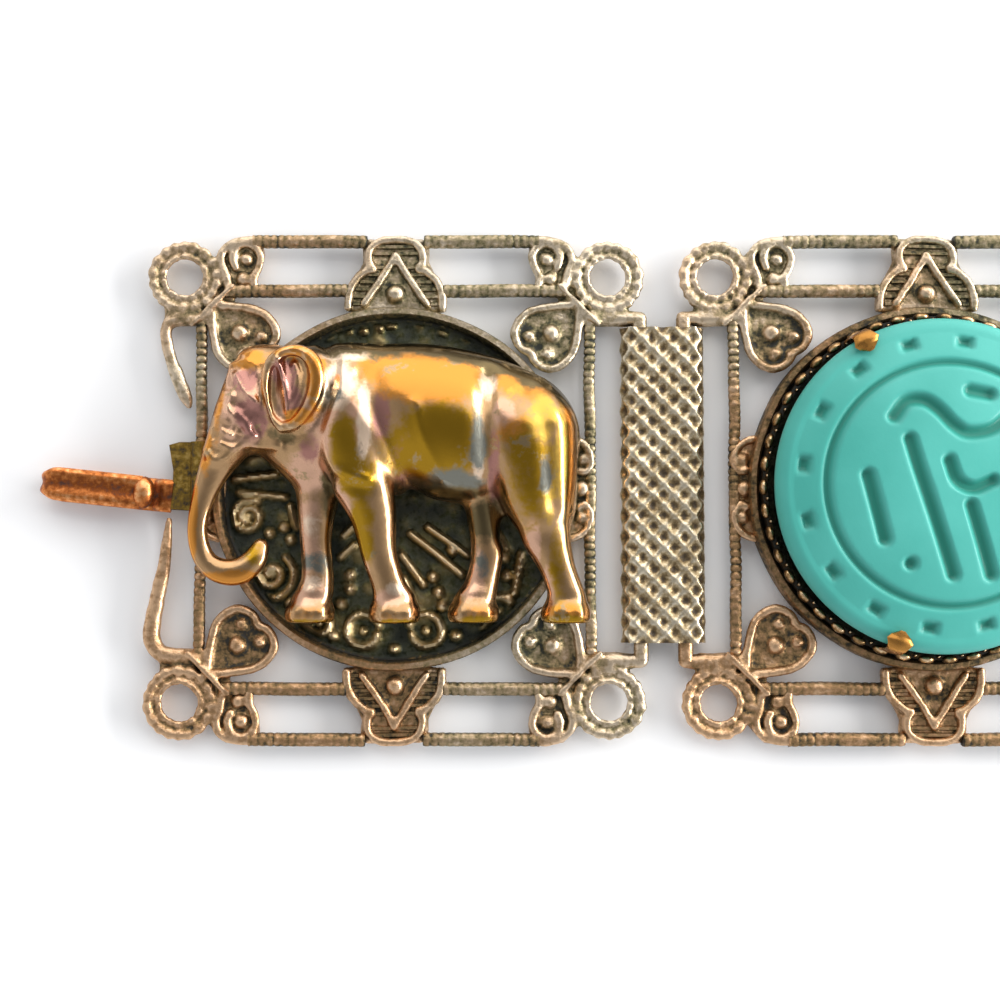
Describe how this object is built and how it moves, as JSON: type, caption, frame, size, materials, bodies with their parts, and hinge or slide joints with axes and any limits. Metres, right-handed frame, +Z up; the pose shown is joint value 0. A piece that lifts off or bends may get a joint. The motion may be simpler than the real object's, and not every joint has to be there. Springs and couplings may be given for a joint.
{
  "type": "elephant and seal panel bracelet",
  "caption": "Hinged panel bracelet opened out flat: pierced filigree panels with elephants and turquoise seals, beaded sleeves and a hook clasp.",
  "frame": {"origin": "middle of the opened-out strip, on the surface it lies on", "axes": "+X along the strip away from the hook, +Y towards the elephants' backs, +Z up out of the face"},
  "size_m": [0.1831, 0.0342, 0.0064],
  "materials": {
    "filigree_metal": "antiqued copper-toned brass, dark in the recesses, satin on the ribs",
    "elephant_metal": "polished copper-gold with darker tarnish in the folds",
    "sleeve_metal": "stamped brass with raised beads, worn bright",
    "bezel_metal": "antiqued brass wall with copper tabs",
    "seal_glass": "opaque turquoise glass, satin, with incised lines",
    "clasp_metal": "dark antique plate and a satin copper strip"
  },
  "bodies": {
    "panel_1": {"panel_frame_1": "filigree_metal", "elephant_1": "elephant_metal"},
    "panel_2": {"panel_frame_2": "filigree_metal", "bezel_2": "bezel_metal", "seal_stone_2": "seal_glass"},
    "panel_3": {"panel_frame_3": "filigree_metal", "elephant_3": "elephant_metal"},
    "panel_4": {"panel_frame_4": "filigree_metal", "bezel_4": "bezel_metal", "seal_stone_4": "seal_glass"},
    "panel_5": {"panel_frame_5": "filigree_metal", "elephant_5": "elephant_metal"},
    "link_1": {"sleeve_1": "sleeve_metal"},
    "link_2": {"sleeve_2": "sleeve_metal"},
    "link_3": {"sleeve_3": "sleeve_metal"},
    "link_4": {"sleeve_4": "sleeve_metal"},
    "hook": {"clasp_hook": "clasp_metal"}
  },
  "joints": [
    {"name": "link_2_on_panel_3", "type": "hinge", "parent": "panel_3", "child": "link_2", "pos_m": [-0.01298, 0, 0.0009], "axis": [0, -1, 0], "range_deg": [-30, 34]},
    {"name": "panel_2_on_link_2", "type": "hinge", "parent": "link_2", "child": "panel_2", "pos_m": [-0.01593, 0, 0.0009], "axis": [0, -1, 0], "range_deg": [-30, 34]},
    {"name": "link_1_on_panel_2", "type": "hinge", "parent": "panel_2", "child": "link_1", "pos_m": [-0.04863, 0, 0.0009], "axis": [0, -1, 0], "range_deg": [-30, 34]},
    {"name": "panel_1_on_link_1", "type": "hinge", "parent": "link_1", "child": "panel_1", "pos_m": [-0.05158, 0, 0.0009], "axis": [0, -1, 0], "range_deg": [-30, 34]},
    {"name": "link_3_on_panel_3", "type": "hinge", "parent": "panel_3", "child": "link_3", "pos_m": [0.01972, 0, 0.0009], "axis": [0, 1, 0], "range_deg": [-30, 34]},
    {"name": "panel_4_on_link_3", "type": "hinge", "parent": "link_3", "child": "panel_4", "pos_m": [0.02268, 0, 0.0009], "axis": [0, 1, 0], "range_deg": [-30, 34]},
    {"name": "link_4_on_panel_4", "type": "hinge", "parent": "panel_4", "child": "link_4", "pos_m": [0.05538, 0, 0.0009], "axis": [0, 1, 0], "range_deg": [-30, 34]},
    {"name": "panel_5_on_link_4", "type": "hinge", "parent": "link_4", "child": "panel_5", "pos_m": [0.05833, 0, 0.0009], "axis": [0, 1, 0], "range_deg": [-30, 34]},
    {"name": "hook_on_side_bar", "type": "hinge", "parent": "panel_1", "child": "hook", "pos_m": [-0.08092, 0, 0.0009], "axis": [0, -1, 0], "range_deg": [-25, 60]}
  ]
}
